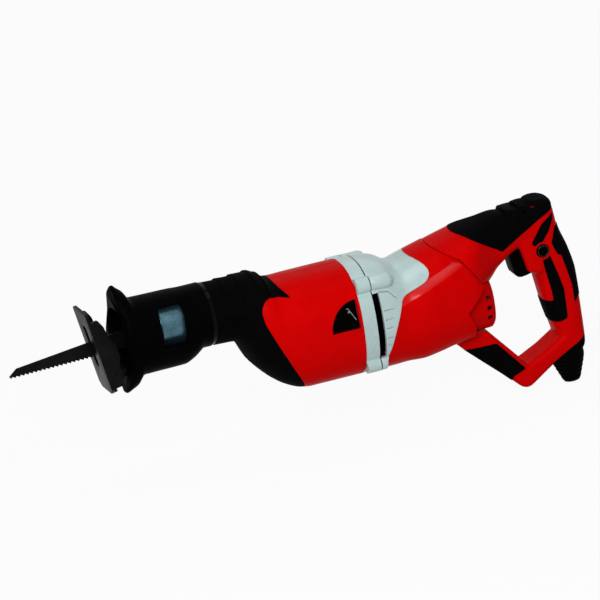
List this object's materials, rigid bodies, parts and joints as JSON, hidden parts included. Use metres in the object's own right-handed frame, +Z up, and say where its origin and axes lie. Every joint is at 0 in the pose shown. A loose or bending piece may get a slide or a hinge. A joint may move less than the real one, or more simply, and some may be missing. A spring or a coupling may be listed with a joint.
{
  "type": "reciprocating saw",
  "caption": "Corded reciprocating saw with a D-handle, soft front grip, geared crank drive, keyless blade clamp and a tilting shoe.",
  "frame": {"origin": "where the plunger's axis meets the front face of the shoe, in the middle of the blade slot", "axes": "+X along the tool from the blade to the handle, +Y to the operator's right, +Z up"},
  "size_m": [0.5588, 0.1012, 0.2005],
  "materials": {
    "red_shell": "moulded red shell, light gloss",
    "soft_black": "soft moulded grip",
    "black_plastic": "fine matt moulding",
    "silver_paint": "die casting in silver paint",
    "steel": "machined",
    "dark_steel": "dark oxide",
    "bronze": "sintered bearing bronze",
    "copper": "enamelled copper winding",
    "carbon": "pressed carbon"
  },
  "bodies": {
    "housing": {"nose_collar": "black_plastic", "nose_ring": "steel", "plunger_seal": "soft_black", "front_bush": "bronze", "rear_bush": "bronze", "plunger_guide": "steel", "front_grip": "soft_black", "front_cover_left": "red_shell", "front_cover_right": "red_shell", "selector_plate": "black_plastic", "gear_case": "silver_paint", "crank_bearings": "steel", "crank_housing": "silver_paint", "bearing_plate": "silver_paint", "front_motor_bearing": "steel", "rear_motor_bearing": "steel", "field_core": "dark_steel", "field_winding": "copper", "brush_holders": "bronze", "carbon_brushes": "carbon", "brush_springs": "steel", "motor_ring": "silver_paint", "housing_screws": "steel", "motor_barrel": "red_shell", "rear_vent_cover": "red_shell", "handle_left": "red_shell", "handle_right": "red_shell", "handle_screws": "steel", "top_pad": "soft_black", "left_grip_pads": "soft_black", "right_grip_pads": "soft_black", "rear_pad": "soft_black", "leg_pad": "soft_black", "trigger_pin": "steel", "trigger_spring": "steel", "switch_box": "black_plastic", "lock_spring": "steel", "cord_boot": "soft_black", "boot_cap": "soft_black"},
    "armature": {"armature_shaft": "steel", "armature_core": "dark_steel", "armature_winding": "copper", "commutator": "copper", "fan": "black_plastic", "pinion": "steel"},
    "crank": {"crank_gear": "steel", "crank_pin": "steel"},
    "roller": {"crank_roller": "bronze"},
    "plunger": {"plunger": "steel", "blade_clamp": "steel", "clamp_pin": "steel", "clamp_retainer": "dark_steel", "saw_blade": "dark_steel"},
    "sleeve": {"clamp_sleeve": "steel"},
    "shoe_slider": {"shoe_guide_bar": "dark_steel", "shoe_pivot_pin": "steel"},
    "shoe": {"shoe_plate": "dark_steel"},
    "selector": {"selector_lever": "black_plastic"},
    "trigger": {"trigger": "black_plastic"},
    "lock_button": {"lock_button": "black_plastic"}
  },
  "joints": [
    {"name": "armature_spin", "type": "hinge", "parent": "housing", "child": "armature", "pos_m": [0.3, 0, -0.036], "axis": [1, 0, 0], "range_deg": [-360, 360]},
    {"name": "crank_spin", "type": "hinge", "parent": "housing", "child": "crank", "pos_m": [0.193, 0, -0.03], "axis": [0, 0, 1], "range_deg": [-90, 90]},
    {"name": "roller_spin", "type": "hinge", "parent": "crank", "child": "roller", "pos_m": [0.193, 0.014, -0.01], "axis": [0, 0, 1], "continuous": true},
    {"name": "plunger_slide", "type": "slide", "parent": "housing", "child": "plunger", "axis": [1, 0, 0], "range_m": [-0.01401, 0.01401]},
    {"name": "sleeve_turn", "type": "hinge", "parent": "plunger", "child": "sleeve", "pos_m": [0.069, 0, 0], "axis": [1, 0, 0], "range_deg": [0, 45], "stiffness_Nm_per_rad": 0.12, "springref_deg": -17.19},
    {"name": "shoe_slide", "type": "slide", "parent": "housing", "child": "shoe_slider", "axis": [1, 0, 0], "range_m": [-0.025, 0.003]},
    {"name": "shoe_tilt", "type": "hinge", "parent": "shoe_slider", "child": "shoe", "pos_m": [0.0165, 0, -0.034], "axis": [0, 1, 0], "range_deg": [-15, 10]},
    {"name": "selector_turn", "type": "hinge", "parent": "housing", "child": "selector", "pos_m": [0.2415, -0.0497, -0.028], "axis": [0, -0.9781, 0.2079], "range_deg": [0, 65]},
    {"name": "trigger_pull", "type": "hinge", "parent": "housing", "child": "trigger", "pos_m": [0.417, 0, -0.003], "axis": [0, -1, 0], "range_deg": [0, 9], "stiffness_Nm_per_rad": 1.2, "springref_deg": -6.88, "deforming": ["trigger_spring"]},
    {"name": "lock_press", "type": "slide", "parent": "housing", "child": "lock_button", "axis": [0, 1, 0], "range_m": [0, 0.003], "stiffness_N_per_m": 400, "springref_m": -0.002, "deforming": ["lock_spring"]}
  ],
  "couplings": [
    {"joint": "crank_spin", "follows": "armature_spin", "ratio": -0.25},
    {"joint": "plunger_slide", "follows": "armature_spin", "m_per_rad": 0.0022282}
  ]
}
